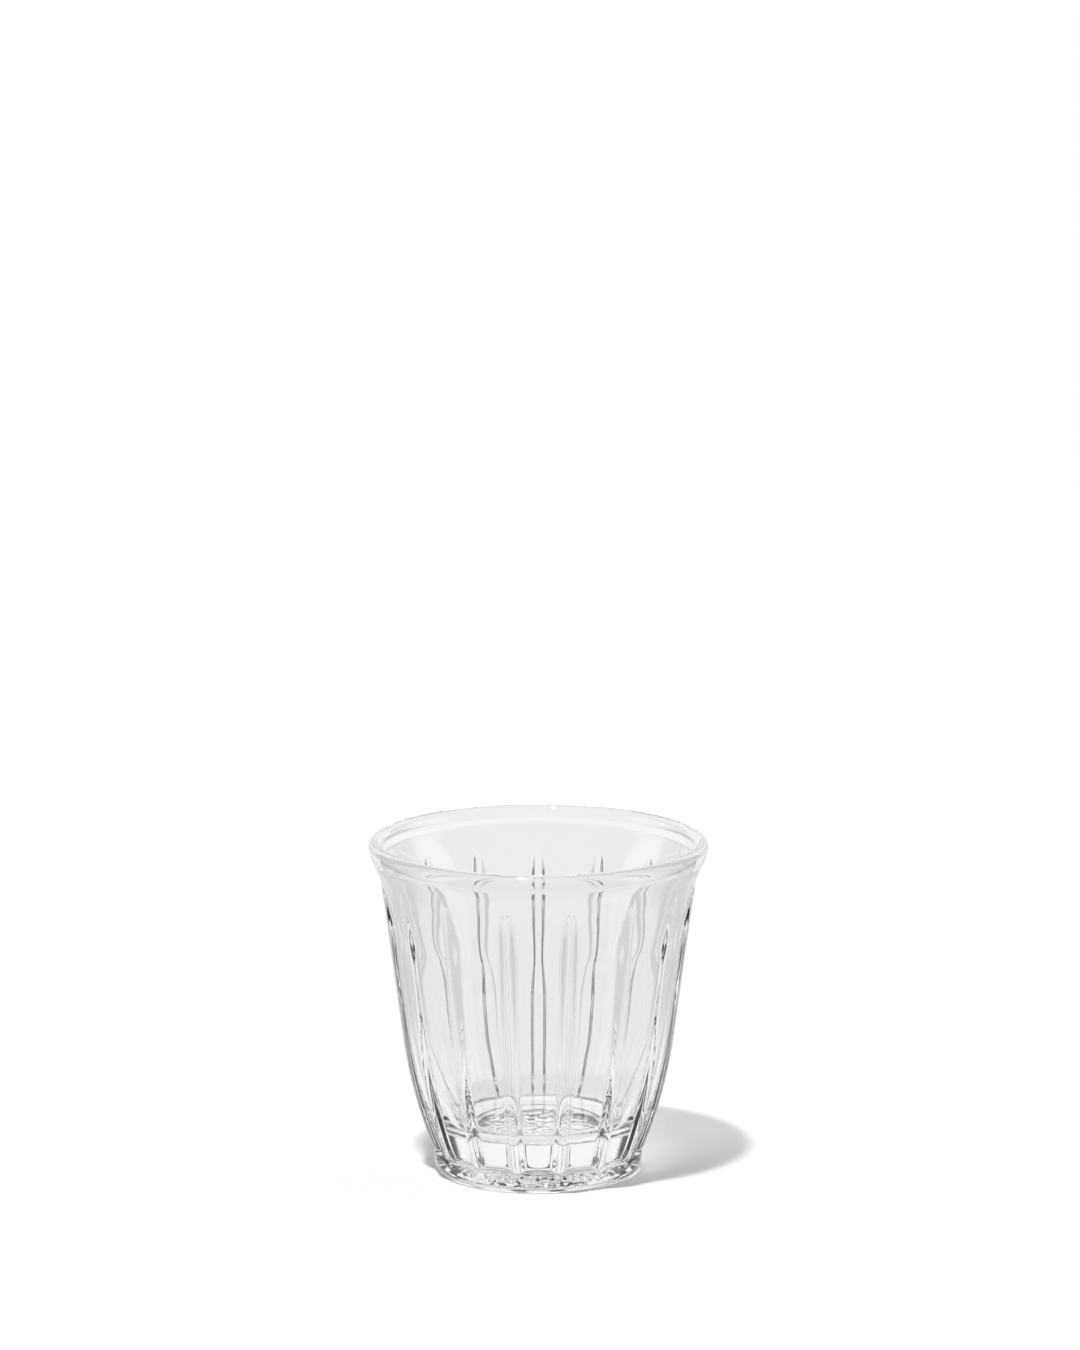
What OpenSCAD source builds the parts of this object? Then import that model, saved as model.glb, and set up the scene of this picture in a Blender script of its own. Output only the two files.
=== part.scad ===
// Short ribbed coffee glass, pressed in one piece: a heavy foot, a tapering wall with
// half-round ribs on the outside, a smooth bowl and a flared, rounded rim.
// Millimetres, +Z up, origin in the middle of the resting face.

/* [Overall] */
// Height from the table to the top of the rim
height = 70; // [66:0.5:76]
// Outside diameter of the rim
rim_d = 70; // [67:0.5:76]

/* [Rim] */
// Thickness of the rim, whose top is a full half-round
rim_wall = 2.8; // [2.4:0.1:3.4]
// Height of the upright band round the outside of the rim
rim_band = 1.2; // [0.6:0.1:2]
// Height of the upright band round the inside of the rim
lip_band = 2.2; // [1:0.1:3]

/* [Wall] */
// Thickness of the wall between two ribs
wall_t = 2.4; // [2:0.1:2.8]
// How far the rim stands out past the wall, where the wall starts to flare
flare_out = 5.2; // [4:0.1:6]
// Height at which the wall starts to flare
neck_z = 50; // [46:0.5:54]
// Lean of the straight part of the wall, in degrees
lean = 7.6; // [6:0.1:9]
// Height at which the outside starts to curve in towards the foot
belly_z = 30; // [26:0.5:34]
// Radius of that curve
belly_r = 105; // [95:1:120]

/* [Ribs] */
// Number of ribs round the wall
rib_count = 15; // [9:1:20]
// Radius of a rib's round section
rib_r = 1.6; // [1.3:0.05:2]
// How far a rib stands out of the wall
rib_h = 1.2; // [0.8:0.05:1.5]

/* [Bowl] */
// Thickness of the base in the middle, from the table to the floor of the bowl
floor_z = 10.3; // [8:0.1:13]
// Height at which the inside starts to curve in towards the floor
bowl_z = 33; // [28:0.5:38]
// Radius of that curve
bowl_r = 70; // [62:1:85]
// Radius between the bowl's wall and its floor
floor_fillet = 6; // [4:0.1:8]

/* [Foot] */
// How far the foot's side lies inside the rim's
foot_in = 13.5; // [12:0.1:14.5]
// Height of the foot
foot_h = 4; // [3:0.1:5]
// Radius of the foot's lower edge
foot_low_r = 2; // [1:0.1:2.6]
// Radius of the foot's upper edge
foot_top_r = 0.6; // [0.3:0.1:0.9]
// Width of the flat ring that the glass rests on
foot_ring = 4.5; // [3:0.1:6]
// Diameter of the flat middle of the hollow inside that ring
hollow_flat_d = 10; // [6:0.5:16]
// Depth of that hollow in the middle
hollow_h = 1.6; // [0.6:0.1:2.5]

/* [Hidden] */
glass_colour = [0.91, 0.93, 0.93, 0.5];
turn_fn = 240;
edge_fn = 48;
// Number of straight steps in each of the wall's curves, and in a rib's curve round the belly
wall_steps = 12;
rib_steps = 4;
// How deep a rib's flat back lies in the wall, how far its top runs on inside the flare,
// and how far its lengths overlap where they meet
rib_root = 0.5;
rib_run_on = 1;
rib_mitre = 0.5;
// How far the cuts for the bowl and the hollow run on past the glass
cut_over = 2;

// Points are [distance from the axis, height], and this is the leaning wall's outward direction
outward = [cos(lean), -sin(lean)];
rim_r = rim_d / 2;
foot_r = rim_r - foot_in;
hollow_edge = foot_r - foot_low_r - foot_ring;
crown_r = rim_wall / 2;
crown_z = height - crown_r;

// Outside of the wall: the neck, the start of the belly's curve and the lower edge of the rim band
neck = [rim_r - flare_out, neck_z];
belly = [neck.x - (neck_z - belly_z) * tan(lean), belly_z];
belly_c = belly - belly_r * outward;
belly_low = -asin((belly_c.y - foot_h / 2) / belly_r);
rim_low = [rim_r, crown_z - rim_band];
flare_r = tangent_r(neck, rim_low);
flare_c = neck + flare_r * outward;

// Inside of the wall: the same places, one wall thickness further in
bowl_neck = neck - wall_t * outward;
bowl_start = [bowl_neck.x - (bowl_neck.y - bowl_z) * tan(lean), bowl_z];
bowl_c = bowl_start - bowl_r * outward;
lip_low = [rim_r - rim_wall, crown_z - lip_band];
lip_r = tangent_r(bowl_neck, lip_low);
lip_c = bowl_neck + lip_r * outward;

// Floor fillet: it touches the floor, and the bowl's curve from inside
fillet_z = floor_z + floor_fillet;
fillet_reach = bowl_r - floor_fillet;
fillet_high = -asin((bowl_c.y - fillet_z) / fillet_reach);
fillet_c = [bowl_c.x + fillet_reach * cos(fillet_high), fillet_z];

// Hollow under the foot: a curve from its flat middle down to the resting face
hollow_run = hollow_edge - hollow_flat_d / 2;
hollow_r = (pow(hollow_h, 2) + pow(hollow_run, 2)) / (2 * hollow_h);
hollow_c = [hollow_flat_d / 2, hollow_h - hollow_r];
hollow_low = acos(hollow_run / hollow_r);

// Centre line of a rib: its crest follows the belly and the wall, and runs straight on into the flare
rib_path_r = belly_r + rib_h - rib_r;
rib_tip = sqrt(pow(flare_r, 2) - pow(flare_r - rib_h, 2));
rib_top = neck + (rib_h - rib_r) * outward + (rib_tip + rib_run_on) * [-outward.y, outward.x];
rib_path = concat(arc(belly_c, rib_path_r, belly_low, -lean, rib_steps), [rib_top]);

// Radius of the arc that leaves the leaning wall at one point and passes through another
function tangent_r(from, to) = (to - from) * (to - from) / (2 * (to - from) * outward);

// Direction of a point seen from a centre, in degrees
function direction(centre, to) = atan2(to.y - centre.y, to.x - centre.x);

// Points along an arc, from one direction to another; last leaves out the points after it
function arc(centre, r, from, to, steps, last) = [
    for (i = [0 : is_undef(last) ? steps : last])
        let (angle = from + (to - from) * i / steps)
        centre + r * [cos(angle), sin(angle)]
];

module block(low, high) {
    translate(low) square(high - low);
}

module round_at(centre, r) {
    translate(centre) circle(r = r, $fn = edge_fn);
}

module foot_half() {
    block([0, 0], [foot_r - foot_low_r, foot_h]);
    block([0, foot_low_r], [foot_r, foot_h - foot_top_r]);
    block([0, foot_low_r], [foot_r - foot_top_r, foot_h]);
    round_at([foot_r - foot_low_r, foot_low_r], foot_low_r);
    round_at([foot_r - foot_top_r, foot_h - foot_top_r], foot_top_r);
}

module wall_half() {
    polygon(concat(
        [[0, foot_h / 2]],
        arc(belly_c, belly_r, belly_low, -lean, wall_steps),
        arc(flare_c, flare_r, 180 - lean, direction(flare_c, rim_low), wall_steps),
        [[rim_r, crown_z], [0, crown_z]]
    ));
    round_at([rim_r - crown_r, crown_z], crown_r);
}

module bowl_half() {
    polygon(concat(
        [[0, floor_z]],
        arc(fillet_c, floor_fillet, -90, fillet_high, wall_steps, wall_steps - 1),
        arc(bowl_c, bowl_r, fillet_high, -lean, wall_steps),
        arc(lip_c, lip_r, 180 - lean, direction(lip_c, lip_low), wall_steps),
        [[lip_low.x, height + cut_over], [0, height + cut_over]]
    ));
}

module hollow_half() {
    polygon(concat(
        [[0, hollow_h]],
        arc(hollow_c, hollow_r, 90, hollow_low, wall_steps),
        [[hollow_edge, -cut_over], [0, -cut_over]]
    ));
}

// A round bar's outer part, as deep as the rib and its root
module rib_section() {
    intersection() {
        circle(r = rib_r, $fn = edge_fn);
        block([rib_r - rib_h - rib_root, -rib_r], [rib_r, rib_r]);
    }
}

// A straight length of rib between two points of its centre line
module rib_length(low, high) {
    run = high - low;
    translate(low)
        rotate([0, 0, direction([0, 0], run) - 90])
            rotate([-90, 0, 0])
                translate([0, 0, -rib_mitre])
                    linear_extrude(norm(run) + 2 * rib_mitre)
                        rib_section();
}

// One rib at the +X side, from inside the foot up to its pointed tip
module rib() {
    rotate([90, 0, 0])
        for (i = [1 : len(rib_path) - 1])
            rib_length(rib_path[i - 1], rib_path[i]);
}

// Two ribs lie evenly either side of the front, which is the -Y side
module ribs() {
    pitch = 360 / rib_count;
    for (i = [0 : rib_count - 1])
        rotate([0, 0, -90 + (i + 0.5) * pitch]) rib();
}

module tumbler() {
    color(glass_colour) {
        rotate_extrude($fn = turn_fn)
            difference() {
                union() {
                    foot_half();
                    wall_half();
                }
                bowl_half();
                hollow_half();
            }
        ribs();
    }
}

tumbler();
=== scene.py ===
"""Looks of the short ribbed coffee glass: one pressed tumbler on a white table.

The glass's lengths are written in millimetres, and turned into metres where Blender gets them. The table and the
camera are in metres.
"""

import math

import bpy
from mathutils import Euler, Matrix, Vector


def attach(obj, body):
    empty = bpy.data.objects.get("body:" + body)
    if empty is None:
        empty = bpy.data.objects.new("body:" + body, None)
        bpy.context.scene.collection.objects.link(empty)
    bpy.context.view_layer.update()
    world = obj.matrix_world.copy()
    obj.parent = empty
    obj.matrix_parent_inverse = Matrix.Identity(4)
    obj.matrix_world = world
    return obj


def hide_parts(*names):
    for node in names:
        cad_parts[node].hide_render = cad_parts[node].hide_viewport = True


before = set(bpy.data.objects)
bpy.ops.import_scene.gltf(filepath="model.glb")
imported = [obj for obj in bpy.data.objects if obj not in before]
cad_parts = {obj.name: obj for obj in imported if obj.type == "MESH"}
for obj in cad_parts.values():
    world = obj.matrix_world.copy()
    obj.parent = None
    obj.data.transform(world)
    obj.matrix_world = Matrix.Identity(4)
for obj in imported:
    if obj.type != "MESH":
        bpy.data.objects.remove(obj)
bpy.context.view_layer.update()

MM = 0.001

# Sizes of the glass, the same as in the CAD source
HEIGHT = 70
RIM_R = 35
RIM_WALL = 2.8
RIM_BAND = 1.2
LIP_BAND = 2.2
WALL = 2.4
FLARE_OUT = 5.2
NECK_Z = 50
LEAN = math.radians(7.6)
BELLY_Z = 30
BELLY_R = 105
RIB_COUNT = 15
RIB_H = 1.2
FLOOR_Z = 10.3
BOWL_Z = 33
BOWL_R = 70
FLOOR_FILLET = 6
FOOT_R = 21.5
FOOT_H = 4
FOOT_LOW_R = 2
FOOT_TOP_R = 0.6
FOOT_RING = 4.5
HOLLOW_FLAT_R = 5
HOLLOW_H = 1.6

# Looks only: the rounding of a rib's crest and roots, the height and the rounding of the turn at its lower end,
# and the rounding between the wall and the foot
RIB_CREST_R = 1.5
RIB_ROOT_R = 0.25
RIB_END_Z = 5.4
RIB_END_R = 1.5
GROOVE_R = 0.5

# Looks only: how far below the rim's upright bands the flare and the lip start to run into them
FLARE_BLEND = 1.5
LIP_BLEND = 0.4

# Looks only: the dents of the hammered hollow underneath, how deep, wide, steep and soft they are, and where
# they start to fade and end
DENT_DEPTH = 0.5
DENT_SIZE = 1.8
DENT_STEEPNESS = 1.7
DENT_SOFTNESS = 0.25
DENTS_FULL_R = 10.5
DENTS_END_R = 12.5

# Looks only: how far the middle of a panel between two ribs swells out, and how far the foot's upper edge arches
# up there, at some heights
PANEL_SWELL = [(8, 0), (18, 0.04), (46, 0.08), (52, -0.3), (60, -0.1), (66.5, 0)]
FOOT_ARCH = [(2, 0), (3.6, 0.5), (4.2, 0.5), (6.5, 0)]

# The mesh: its columns for each rib, how closely they crowd towards the rib's middle, and the gap that a seam closes
COLUMNS = 34
CROWDING = 0.6
SEAM = 0.001


# Outline of the glass, from the middle of the bowl's floor over the rim to the middle of the hollow underneath

def along_wall(start, z):
    """The point at height z on the leaning line through start."""
    return Vector((start.x - (start.y - z) * math.tan(LEAN), z))


def tangent_radius(start, end):
    """Radius of the arc that leaves the leaning wall at start and passes through end."""
    run = end - start
    return run.length_squared / (2 * run.dot(OUTWARD))


def direction(centre, point):
    return math.atan2(point.y - centre.y, point.x - centre.x)


def on_arc(centre, radius, turn):
    return centre + radius * Vector((math.cos(turn), math.sin(turn)))


def arc(centre, radius, start, end, steps):
    """Points on an arc after its first one, which the piece before it already has."""
    return [on_arc(centre, radius, start + (end - start) * i / steps) for i in range(1, steps + 1)]


def line(start, end, steps):
    return [start.lerp(end, i / steps) for i in range(1, steps + 1)]


def blend(start, corner, end, steps):
    """Points on a smooth curve that leaves start towards corner, and comes to end from there."""
    shares = [i / steps for i in range(1, steps + 1)]
    return [start.lerp(corner, s).lerp(corner.lerp(end, s), s) for s in shares]


def straight_on(start, turn, r):
    """Where the line that touches an arc at start, which lies at that turn, is r away from the axis."""
    return start + Vector((1, -1 / math.tan(turn))) * (r - start.x)


OUTWARD = Vector((math.cos(LEAN), -math.sin(LEAN)))
UP, DOWN, OUT, IN = math.pi / 2, -math.pi / 2, 0.0, math.pi
crown_r = RIM_WALL / 2
crown_z = HEIGHT - crown_r

# Outside of the wall
neck = Vector((RIM_R - FLARE_OUT, NECK_Z))
belly = along_wall(neck, BELLY_Z)
belly_c = belly - BELLY_R * OUTWARD
rim_low = Vector((RIM_R, crown_z - RIM_BAND))
flare_r = tangent_radius(neck, rim_low)
flare_c = neck + flare_r * OUTWARD
flare_turn = direction(flare_c, rim_low) + FLARE_BLEND / flare_r
flare_end = on_arc(flare_c, flare_r, flare_turn)
flare_corner = straight_on(flare_end, flare_turn, RIM_R)

# Inside of the wall
bowl_neck = neck - WALL * OUTWARD
bowl_start = along_wall(bowl_neck, BOWL_Z)
bowl_c = bowl_start - BOWL_R * OUTWARD
lip_low = Vector((RIM_R - RIM_WALL, crown_z - LIP_BAND))
lip_r = tangent_radius(bowl_neck, lip_low)
lip_c = bowl_neck + lip_r * OUTWARD
lip_turn = direction(lip_c, lip_low) + LIP_BLEND / lip_r
lip_corner = straight_on(on_arc(lip_c, lip_r, lip_turn), lip_turn, lip_low.x)

# The floor's fillet touches the floor, and the bowl's curve from inside
fillet_z = FLOOR_Z + FLOOR_FILLET
fillet_turn = -math.asin((bowl_c.y - fillet_z) / (BOWL_R - FLOOR_FILLET))
fillet_c = Vector((bowl_c.x + (BOWL_R - FLOOR_FILLET) * math.cos(fillet_turn), fillet_z))

# The groove's fillet touches the belly from outside and the top of the foot
groove_z = FOOT_H + GROOVE_R
groove_turn = -math.asin((belly_c.y - groove_z) / (BELLY_R + GROOVE_R))
groove_c = Vector((belly_c.x + (BELLY_R + GROOVE_R) * math.cos(groove_turn), groove_z))

# The hollow curves from its flat middle down to the resting ring
hollow_edge = FOOT_R - FOOT_LOW_R - FOOT_RING
hollow_run = hollow_edge - HOLLOW_FLAT_R
hollow_r = (HOLLOW_H ** 2 + hollow_run ** 2) / (2 * HOLLOW_H)
hollow_c = Vector((HOLLOW_FLAT_R, HOLLOW_H - hollow_r))
hollow_low = math.acos(hollow_run / hollow_r)

# The last number of each piece is its number of steps
outline = [Vector((0, FLOOR_Z))]
outline += line(outline[-1], Vector((fillet_c.x, FLOOR_Z)), 3)
outline += arc(fillet_c, FLOOR_FILLET, DOWN, fillet_turn, 8)
outline += arc(bowl_c, BOWL_R, fillet_turn, -LEAN, 14)
outline += line(bowl_start, bowl_neck, 5)
outline += arc(lip_c, lip_r, IN - LEAN, lip_turn, 10)
outline += blend(outline[-1], lip_corner, Vector((lip_low.x, crown_z)), 6)
outline += arc(Vector((RIM_R - crown_r, crown_z)), crown_r, IN, OUT, 24)
outline += blend(outline[-1], flare_corner, flare_end, 6)
outline += arc(flare_c, flare_r, flare_turn, IN - LEAN, 24)
outline += line(neck, belly, 8)
outline += arc(belly_c, BELLY_R, -LEAN, groove_turn, 26)
outline += arc(groove_c, GROOVE_R, IN + groove_turn, IN + math.pi / 2, 4)
outline += arc(Vector((FOOT_R - FOOT_TOP_R, FOOT_H - FOOT_TOP_R)), FOOT_TOP_R, UP, OUT, 6)
outline += line(outline[-1], Vector((FOOT_R, FOOT_LOW_R)), 2)
outline += arc(Vector((FOOT_R - FOOT_LOW_R, FOOT_LOW_R)), FOOT_LOW_R, OUT, DOWN, 8)
outline += line(outline[-1], Vector((hollow_edge, 0)), 4)
hollow_first = len(outline)
outline += arc(hollow_c, hollow_r, hollow_low, UP, 20)
outline += line(outline[-1], Vector((0, HOLLOW_H)), 8)
widest = max(range(len(outline)), key=lambda i: outline[i].x)


# What each point of the outline carries for the node tree

def crest_radius(z):
    """How far a rib's crest lies from the axis at height z."""
    if z > BELLY_Z:
        r = along_wall(neck + RIB_H * OUTWARD, z).x
    else:
        reach = BELLY_R + RIB_H
        r = belly_c.x + math.sqrt(reach ** 2 - (belly_c.y - z) ** 2)
    below = RIB_END_Z - z
    if below > RIB_END_R:
        return 0
    if below > 0:
        r -= RIB_END_R - math.sqrt(RIB_END_R ** 2 - below ** 2)
    return r


def at_height(steps, z):
    """A value at height z, with smooth changes between the given heights and nothing outside them."""
    for (low, a), (high, b) in zip(steps, steps[1:]):
        if low <= z <= high:
            share = (z - low) / (high - low)
            return a + (b - a) * share * share * (3 - 2 * share)
    return 0


def dented(r):
    """Share of the full depth that a dent has at some distance from the axis."""
    return min(max((DENTS_END_R - r) / (DENTS_END_R - DENTS_FULL_R), 0), 1)


carried = {"rise": [], "swell": [], "arch": [], "dents": []}
for i, p in enumerate(outline):
    outside = i > widest
    carried["rise"].append((crest_radius(p.y) - p.x) * MM if outside else -MM)
    carried["swell"].append(at_height(PANEL_SWELL, p.y) * MM if outside else 0)
    carried["arch"].append(at_height(FOOT_ARCH, p.y) * MM if outside else 0)
    carried["dents"].append(dented(p.x) if i > hollow_first else 0)


# Geometry Nodes: turns the outline round the axis and raises the ribs on its outside

class Tree:
    """A short way to write node trees."""

    def __init__(self, tree):
        self.tree = tree

    def add(self, kind, settings=None, inputs=None):
        node = self.tree.nodes.new(kind)
        for name, value in (settings or {}).items():
            setattr(node, name, value)
        for name, value in (inputs or {}).items():
            self.feed(node.inputs[name], value)
        return node

    def feed(self, socket, value):
        if isinstance(value, bpy.types.NodeSocket):
            self.tree.links.new(value, socket)
        else:
            socket.default_value = value

    def math(self, operation, *values):
        node = self.add("ShaderNodeMath", {"operation": operation})
        for i, value in enumerate(values):
            self.feed(node.inputs[i], value)
        return node.outputs[0]


def tumbler_tree():
    group = bpy.data.node_groups.new("pressed_tumbler", "GeometryNodeTree")
    for name, kind in (
        ("Outline", "NodeSocketGeometry"),
        ("Rib count", "NodeSocketInt"),
        ("Columns per rib", "NodeSocketInt"),
        ("Column crowding", "NodeSocketFloat"),
        ("Rib crest radius", "NodeSocketFloat"),
        ("Rib root radius", "NodeSocketFloat"),
        ("Dent depth", "NodeSocketFloat"),
        ("Dent size", "NodeSocketFloat"),
        ("Glass", "NodeSocketMaterial"),
    ):
        group.interface.new_socket(name, in_out="INPUT", socket_type=kind)
    group.interface.new_socket("Tumbler", in_out="OUTPUT", socket_type="NodeSocketGeometry")
    t = Tree(group)
    given = t.add("NodeGroupInput").outputs
    ribs, columns = given["Rib count"], given["Columns per rib"]
    crest, root = given["Rib crest radius"], given["Rib root radius"]

    # A flat grid, one row for each point of the outline, one column for each step round the axis
    size = t.add("GeometryNodeAttributeDomainSize", inputs={"Geometry": given["Outline"]})
    rows = size.outputs["Point Count"]
    last_row = t.math("SUBTRACT", rows, 1)
    around = t.math("MULTIPLY", ribs, columns)
    grid = t.add("GeometryNodeMeshGrid", inputs={
        "Size X": last_row,
        "Size Y": around,
        "Vertices X": rows,
        "Vertices Y": t.math("ADD", around, 1),
    })
    here = t.add("GeometryNodeInputPosition").outputs[0]
    place = t.add("ShaderNodeSeparateXYZ", inputs={0: here}).outputs
    row = t.math("ROUND", t.math("MULTIPLY_ADD", last_row, 0.5, place["X"]))
    column = t.math("ROUND", t.math("MULTIPLY_ADD", around, 0.5, place["Y"]))

    def of_row(value, data_type="FLOAT"):
        """A value of the outline's point that belongs to this row."""
        return t.add("GeometryNodeSampleIndex", {"data_type": data_type}, {
            "Geometry": given["Outline"], "Value": value, "Index": row,
        }).outputs[0]

    def stored(name):
        named = t.add("GeometryNodeInputNamedAttribute", {"data_type": "FLOAT"}, {"Name": name})
        return of_row(named.outputs["Attribute"])

    # The row's point of the outline, and how far a rib's crest rises over it
    point = t.add("ShaderNodeSeparateXYZ", inputs={0: of_row(here, "FLOAT_VECTOR")}).outputs
    height = t.math("MAXIMUM", stored("rise"), 0.0)

    # Turn of the column, with the columns crowded towards the middle of each rib
    steps = t.math("DIVIDE", column, columns)
    rib_number = t.math("FLOOR", steps)
    share = t.math("SUBTRACT", steps, rib_number)
    wave = t.math("SINE", t.math("MULTIPLY", share, math.tau))
    share = t.math("MULTIPLY_ADD", wave, t.math("DIVIDE", given["Column crowding"], math.tau), share)
    pitch = t.math("DIVIDE", math.tau, ribs)
    turn = t.math("MULTIPLY_ADD", t.math("ADD", rib_number, share), pitch, -math.pi / 2)

    # Section of a rib: a round crest that runs into two round roots, narrower where the rib is lower
    off_middle = t.math("ABSOLUTE", t.math("SUBTRACT", share, 0.5))
    aside = t.math("MULTIPLY", off_middle, t.math("MULTIPLY", pitch, point["X"]))
    both = t.math("ADD", crest, root)
    cosine = t.math("SUBTRACT", 1.0, t.math("DIVIDE", height, both))
    sine = t.math("SQRT", t.math("SUBTRACT", 1.0, t.math("MULTIPLY", cosine, cosine)))
    half_width = t.math("MULTIPLY", both, sine)

    def side(radius, distance):
        """Height of a circle's edge over its centre at some distance from its middle."""
        left = t.math("SUBTRACT", t.math("MULTIPLY", radius, radius), t.math("MULTIPLY", distance, distance))
        return t.math("SQRT", t.math("MAXIMUM", left, 0.0))

    on_crest = t.math("ADD", t.math("SUBTRACT", height, crest), side(crest, aside))
    to_root = t.math("MAXIMUM", t.math("SUBTRACT", half_width, aside), 0.0)
    on_root = t.math("SUBTRACT", root, side(root, to_root))
    is_root = t.math("GREATER_THAN", aside, t.math("MULTIPLY", crest, sine))
    raised = t.add("GeometryNodeSwitch", {"input_type": "FLOAT"}, {
        "Switch": is_root, "False": on_crest, "True": on_root,
    }).outputs[0]

    # A panel's swell is full in its middle, and none at the ribs
    between = t.math("MULTIPLY", off_middle, 2.0)
    pillow = t.math("MULTIPLY", between, t.math("SUBTRACT", 2.0, between))
    raised = t.math("MULTIPLY_ADD", stored("swell"), pillow, raised)

    radius = t.math("ADD", point["X"], raised)
    x = t.math("MULTIPLY", radius, t.math("COSINE", turn))
    y = t.math("MULTIPLY", radius, t.math("SINE", turn))

    # Dents go up into the underside, and each cell of the pattern is one dent with a flat edge
    flat = t.add("ShaderNodeCombineXYZ", inputs={"X": x, "Y": y}).outputs[0]
    cell = t.add("ShaderNodeTexVoronoi", {"voronoi_dimensions": "2D", "feature": "SMOOTH_F1"}, {
        "Vector": flat, "Scale": t.math("DIVIDE", 1.0, given["Dent size"]), "Smoothness": DENT_SOFTNESS,
    }).outputs["Distance"]
    cell = t.math("MULTIPLY", cell, DENT_STEEPNESS)
    dent = t.math("MAXIMUM", t.math("SUBTRACT", 1.0, t.math("MULTIPLY", cell, cell)), 0.0)
    dent = t.math("MULTIPLY", t.math("MULTIPLY", dent, given["Dent depth"]), stored("dents"))
    z = t.math("ADD", t.math("MULTIPLY_ADD", stored("arch"), pillow, point["Z"]), dent)

    moved = t.add("ShaderNodeCombineXYZ", inputs={"X": x, "Y": y, "Z": z}).outputs[0]
    shaped = t.add("GeometryNodeSetPosition", inputs={"Geometry": grid.outputs["Mesh"], "Position": moved})
    closed = t.add("GeometryNodeMergeByDistance", inputs={"Geometry": shaped.outputs[0], "Distance": SEAM * MM})
    smooth = t.add("GeometryNodeSetShadeSmooth", inputs={"Geometry": closed.outputs[0]})
    real = t.add("GeometryNodeRealizeInstances", inputs={"Geometry": smooth.outputs[0]})
    glazed = t.add("GeometryNodeSetMaterial", inputs={"Geometry": real.outputs[0], "Material": given["Glass"]})
    t.add("NodeGroupOutput", inputs={"Tumbler": glazed.outputs[0]})
    return group


def made_by(name, base, tree, values):
    """A plain mesh object, made by running a node tree on a base mesh."""
    carrier = bpy.data.objects.new(name + "_base", base)
    bpy.context.scene.collection.objects.link(carrier)
    modifier = carrier.modifiers.new("nodes", "NODES")
    modifier.node_group = tree
    sockets = {s.name: s.identifier for s in tree.interface.items_tree if s.in_out == "INPUT"}
    for key, value in values.items():
        modifier[sockets[key]] = value
    graph = bpy.context.evaluated_depsgraph_get()
    mesh = bpy.data.meshes.new_from_object(carrier.evaluated_get(graph))
    mesh.name = name
    bpy.data.objects.remove(carrier)
    piece = bpy.data.objects.new(name, mesh)
    bpy.context.scene.collection.objects.link(piece)
    return piece


# Materials

# The glass, and the share of a lamp's light that passes it face on and at a slant
GLASS_TINT = (0.952, 0.957, 0.954, 1)
GLASS_IOR = 1.5
PASSES_FACING = 0.72
PASSES_SLANTED = 0.15
SLANT_BLEND = 0.35

# How white the table's paper is. The glass shows it dimmer either side of a strip, whose edges lie between these
# distances from its middle. For the most part it also glows evenly by itself there: painted light that takes most of
# the glass's shadow out of what the glass shows.
PAPER = 0.92
STRIP = (0.05, 0.1)
STRIP_LEVEL = 0.72
PAINTED_GLOW = 0.75


def new_material(name):
    material = bpy.data.materials.new(name)
    material.use_nodes = True
    material.node_tree.nodes.clear()
    return material, Tree(material.node_tree)


def clear_glass():
    """Clear glass. Lamps shine through it, dimmed more where it is seen at a slant."""
    material, t = new_material("clear_glass")
    glass = t.add("ShaderNodeBsdfPrincipled", inputs={
        "Base Color": GLASS_TINT,
        "Roughness": 0.0,
        "IOR": GLASS_IOR,
        "Transmission Weight": 1.0,
    })
    slant = t.add("ShaderNodeLayerWeight", inputs={"Blend": SLANT_BLEND}).outputs["Facing"]
    dimmed = t.add("ShaderNodeMapRange", inputs={
        "Value": slant, "To Min": PASSES_FACING, "To Max": PASSES_SLANTED,
    }).outputs[0]
    through = t.add("ShaderNodeBsdfTransparent", inputs={"Color": dimmed})
    shadow = t.add("ShaderNodeLightPath").outputs["Is Shadow Ray"]
    mixed = t.add("ShaderNodeMixShader", inputs={0: shadow, 1: glass.outputs[0], 2: through.outputs[0]})
    t.add("ShaderNodeOutputMaterial", inputs={"Surface": mixed.outputs[0]})
    return material


def white_table():
    """White paper, with the glass's shadow on it. In the glass it shows darker at the sides and partly glows by
    itself: painted light that makes the shadow faint there.
    """
    material, t = new_material("white_table")
    spot = t.add("ShaderNodeTexCoord").outputs["Object"]
    aside = t.math("ABSOLUTE", t.add("ShaderNodeSeparateXYZ", inputs={0: spot}).outputs["X"])
    level = t.add("ShaderNodeMapRange", {"interpolation_type": "SMOOTHSTEP"}, {
        "Value": aside, "From Min": STRIP[0], "From Max": STRIP[1], "To Min": PAPER, "To Max": PAPER * STRIP_LEVEL,
    }).outputs[0]
    middle = t.add("ShaderNodeBsdfDiffuse", inputs={"Color": (PAPER, PAPER, PAPER, 1)})
    sides = t.add("ShaderNodeBsdfDiffuse", inputs={"Color": level})
    # Painted light: the paper seen in the glass partly glows by itself, so the glass's shadow on it shows only
    # faintly there
    painted_glow = t.add("ShaderNodeEmission", inputs={"Color": level})
    shown = t.add("ShaderNodeMixShader", inputs={0: PAINTED_GLOW, 1: sides.outputs[0], 2: painted_glow.outputs[0]})
    direct = t.add("ShaderNodeLightPath").outputs["Is Camera Ray"]
    paper = t.add("ShaderNodeMixShader", inputs={0: direct, 1: shown.outputs[0], 2: middle.outputs[0]})
    t.add("ShaderNodeOutputMaterial", inputs={"Surface": paper.outputs[0]})
    return material


# The glass

profile = bpy.data.meshes.new("outline")
profile.from_pydata(
    [(p.x * MM, 0, p.y * MM) for p in outline],
    [(i, i + 1) for i in range(len(outline) - 1)],
    [],
)
for name, values in carried.items():
    profile.attributes.new(name, "FLOAT", "POINT").data.foreach_set("value", values)

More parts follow.
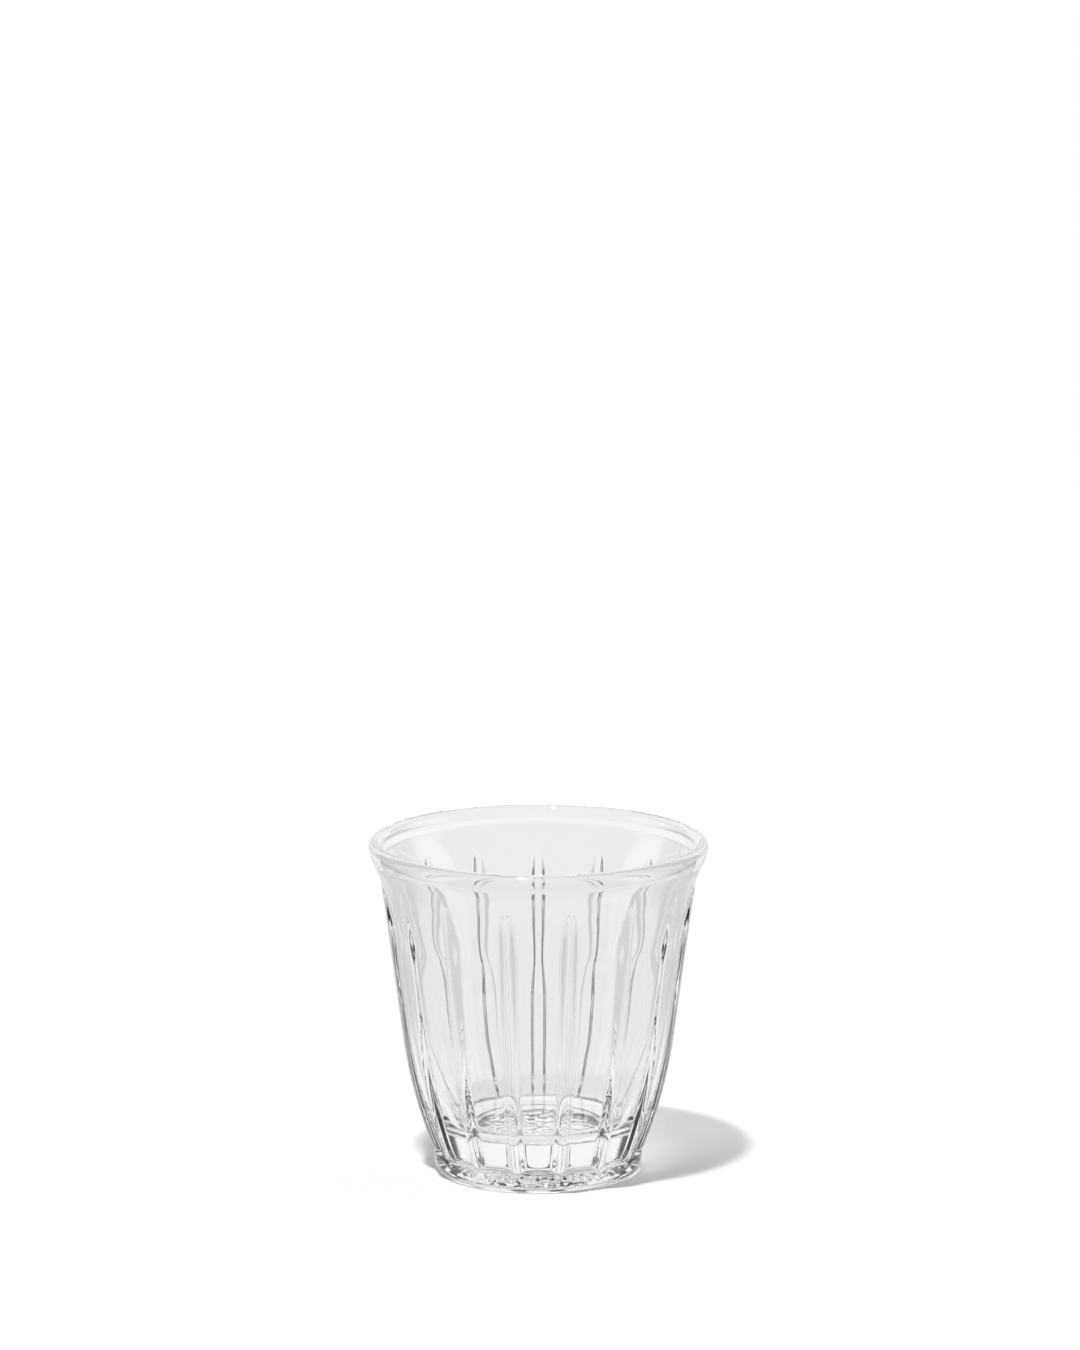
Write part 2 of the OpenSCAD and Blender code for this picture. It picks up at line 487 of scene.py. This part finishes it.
tumbler = made_by("glass_tumbler", profile, tumbler_tree(), {
    "Rib count": RIB_COUNT,
    "Columns per rib": COLUMNS,
    "Column crowding": CROWDING,
    "Rib crest radius": RIB_CREST_R * MM,
    "Rib root radius": RIB_ROOT_R * MM,
    "Dent depth": DENT_DEPTH * MM,
    "Dent size": DENT_SIZE * MM,
    "Glass": clear_glass(),
})
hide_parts("tumbler")
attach(tumbler, "root")

# The table, a hair's breadth under the glass, as glass on paper touches only here and there. It is small, so that
# the rim shows the white room behind it.

AIR_GAP = 0.02
TABLE_HALF = 0.8
corners = [(x * TABLE_HALF, y * TABLE_HALF, 0) for x, y in ((-1, -1), (1, -1), (1, 1), (-1, 1))]
sheet = bpy.data.meshes.new("table")
sheet.from_pydata(corners, [], [(0, 1, 2, 3)])
sheet.materials.append(white_table())
table = bpy.data.objects.new("table", sheet)
table.location.z = -AIR_GAP * MM
bpy.context.scene.collection.objects.link(table)

# Light: one soft lamp high up at the front left, and an even fill from the room

KEY_STRENGTH = 2.3
KEY_ANGLE = math.radians(3)
KEY_TOWARDS = Vector((0.134, 0.295, -0.946))
FILL = 0.42

key = bpy.data.lights.new("key", "SUN")
key.energy = KEY_STRENGTH
key.angle = KEY_ANGLE
lamp = bpy.data.objects.new("key", key)
lamp.rotation_mode = "QUATERNION"
lamp.rotation_quaternion = KEY_TOWARDS.to_track_quat("-Z", "Y")
bpy.context.scene.collection.objects.link(lamp)

# The room, as the glass shows it: white, but dark where the photographer stands, overhead and in a band at each side.
# Each edge of a dark part is a direction, and how far along it the change starts and ends.
FRONT = Vector((0, -0.9, 0.43)), (0.55, 0.75)
OVERHEAD = Vector((0, 0, 1)), (0.5, 0.8)
BAND_START = Vector((1, 0, 0)), (0.6, 0.66)
BAND_END = Vector((1, 0, 0)), (0.9, 0.94)
FRONT_LEVEL = 0.1
OVERHEAD_LEVEL = 0.0
BAND_LEVEL = 0.0

world = bpy.data.worlds.new("room")
world.use_nodes = True
world.node_tree.nodes.clear()
w = Tree(world.node_tree)
ray = w.add("ShaderNodeLightPath").outputs
ahead = w.add("ShaderNodeTexCoord").outputs["Generated"]


def change(edge, before, after, both_ways=False):
    """A brightness that changes along a direction, or along it and its opposite."""
    towards, (start, end) = edge
    along = w.add("ShaderNodeVectorMath", {"operation": "DOT_PRODUCT"}, {0: ahead, 1: towards}).outputs["Value"]
    if both_ways:
        along = w.math("ABSOLUTE", along)
    return w.add("ShaderNodeMapRange", {"interpolation_type": "SMOOTHSTEP"}, {
        "Value": along, "From Min": start, "From Max": end, "To Min": before, "To Max": after,
    }).outputs[0]


level = w.math("MULTIPLY", change(FRONT, 1.0, FRONT_LEVEL), change(OVERHEAD, 1.0, OVERHEAD_LEVEL))
level = w.math("MULTIPLY", level, change(BAND_START, 1.0, BAND_LEVEL, both_ways=True))
level = w.math("MAXIMUM", level, change(BAND_END, 0.0, 1.0, both_ways=True))
shown = w.add("ShaderNodeBackground", inputs={"Color": level})
fill = w.add("ShaderNodeBackground", inputs={"Color": (1, 1, 1, 1), "Strength": FILL})
white = w.add("ShaderNodeBackground", inputs={"Color": (1, 1, 1, 1)})
in_glass = w.math("MAXIMUM", ray["Is Glossy Ray"], ray["Is Transmission Ray"])
room = w.add("ShaderNodeMixShader", inputs={0: in_glass, 1: fill.outputs[0], 2: shown.outputs[0]})
seen = w.add("ShaderNodeMixShader", inputs={0: ray["Is Camera Ray"], 1: room.outputs[0], 2: white.outputs[0]})
w.add("ShaderNodeOutputWorld", inputs={"Surface": seen.outputs[0]})
bpy.context.scene.world = world

# Camera: a long lens at the photograph's viewing angle, looking slightly down

LENS = 231.8
CAMERA_PLACE = (0.00033, -1.75, 0.459)
LOOKS_DOWN = math.radians(11.45)

optics = bpy.data.cameras.new("camera")
optics.lens = LENS
camera = bpy.data.objects.new("camera", optics)
camera.location = CAMERA_PLACE
camera.rotation_euler = Euler((math.pi / 2 - LOOKS_DOWN, 0, 0))
bpy.context.scene.collection.objects.link(camera)
bpy.context.scene.camera = camera

bpy.context.scene.view_settings.view_transform = "Standard"

# Enough bounces for light to find its way out of the ribs and the base
BOUNCES = 32
SHADOW_LAYERS = 16
bpy.context.scene.cycles.max_bounces = BOUNCES
bpy.context.scene.cycles.glossy_bounces = BOUNCES
bpy.context.scene.cycles.transmission_bounces = BOUNCES
bpy.context.scene.cycles.transparent_max_bounces = SHADOW_LAYERS
